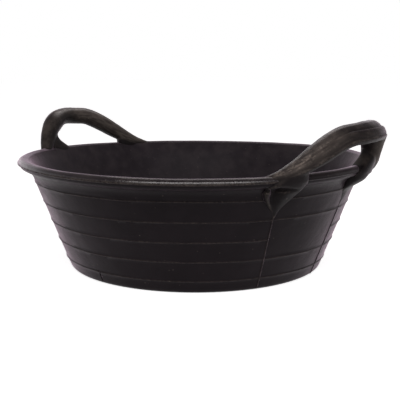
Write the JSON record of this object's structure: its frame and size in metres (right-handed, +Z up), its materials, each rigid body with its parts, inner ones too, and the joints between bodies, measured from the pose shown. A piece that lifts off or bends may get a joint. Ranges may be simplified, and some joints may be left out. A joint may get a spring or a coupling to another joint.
{
  "type": "feed tub",
  "caption": "Low round rubber tub with sloping walls, a rolled rim and looped side handles, for carrying feed, water or rubble.",
  "frame": {"origin": "centre of the underside, on the ground", "axes": "+Z up, +X towards one handle and -X towards the other, -Y the front"},
  "size_m": [0.538, 0.4716, 0.1998],
  "materials": {
    "tub_rubber": "smooth moulded black rubber with a dull sheen, dusty and scuffed",
    "handle_rubber": "moulded black rubber worn grey-brown where hands hold it",
    "cord": "laid textile cord, sealed inside the rubber"
  },
  "bodies": {
    "root": {"floor_disc": "tub_rubber", "base_band": "tub_rubber", "front_wall_panel": "tub_rubber", "rear_wall_panel": "tub_rubber", "right_wall_panel": "tub_rubber", "left_wall_panel": "tub_rubber", "right_front_seam": "tub_rubber", "right_rear_seam": "tub_rubber", "left_front_seam": "tub_rubber", "left_rear_seam": "tub_rubber", "rim_bead": "tub_rubber", "right_handle": "handle_rubber", "left_handle": "handle_rubber", "right_front_foot": "handle_rubber", "right_rear_foot": "handle_rubber", "left_front_foot": "handle_rubber", "left_rear_foot": "handle_rubber", "rim_cord": "cord", "right_handle_cord": "cord", "left_handle_cord": "cord"}
  },
  "joints": []
}
